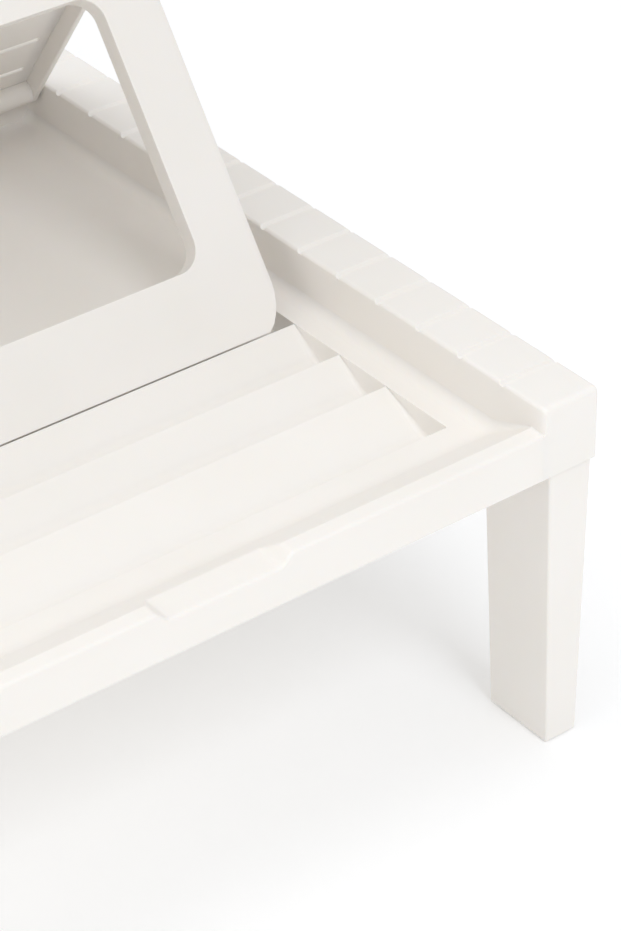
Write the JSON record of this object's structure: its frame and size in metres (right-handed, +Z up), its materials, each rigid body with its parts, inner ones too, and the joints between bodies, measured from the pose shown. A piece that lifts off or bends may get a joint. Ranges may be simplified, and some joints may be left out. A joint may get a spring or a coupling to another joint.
{
  "type": "reclining sun lounger",
  "caption": "White moulded garden lounger: slatted deck on tapered legs, backrest that lifts on a prop frame standing in a sawtooth rack.",
  "frame": {"origin": "on the ground, under the middle of the lounger's frame", "axes": "+X along the length to the head end, +Y across to the right-hand rail, +Z up"},
  "size_m": [1.898, 0.684, 0.866],
  "materials": {
    "moulded_white": "satin moulded polypropylene",
    "pin_steel": "plain stainless pins and screws",
    "glide_rubber": "dark matt rubber"
  },
  "bodies": {
    "frame": {"side_rail_right": "moulded_white", "side_rail_left": "moulded_white", "head_rail": "moulded_white", "foot_rail": "moulded_white", "back_tray": "moulded_white", "seat_deck": "moulded_white", "leg_head_right": "moulded_white", "leg_head_left": "moulded_white", "leg_foot_right": "moulded_white", "leg_foot_left": "moulded_white", "leg_screws": "pin_steel", "glide_head_right": "glide_rubber", "glide_head_left": "glide_rubber", "glide_foot_right": "glide_rubber", "glide_foot_left": "glide_rubber", "hinge_pin_right": "pin_steel", "hinge_pin_left": "pin_steel"},
    "backrest": {"backrest": "moulded_white", "prop_pin_right": "pin_steel", "prop_pin_left": "pin_steel"},
    "prop": {"prop_frame": "moulded_white"}
  },
  "joints": [
    {"name": "backrest_recline", "type": "hinge", "parent": "frame", "child": "backrest", "pos_m": [0.263, 0, 0.31325], "axis": [0, 1, 0], "range_deg": [0, 53]},
    {"name": "prop_swing", "type": "hinge", "parent": "backrest", "child": "prop", "pos_m": [0.47045, 0, 0.55323], "axis": [0, -1, 0], "range_deg": [0, 110.4]}
  ],
  "couplings": [
    {"joint": "prop_swing", "follows": "backrest_recline", "ratio": 2.083}
  ]
}
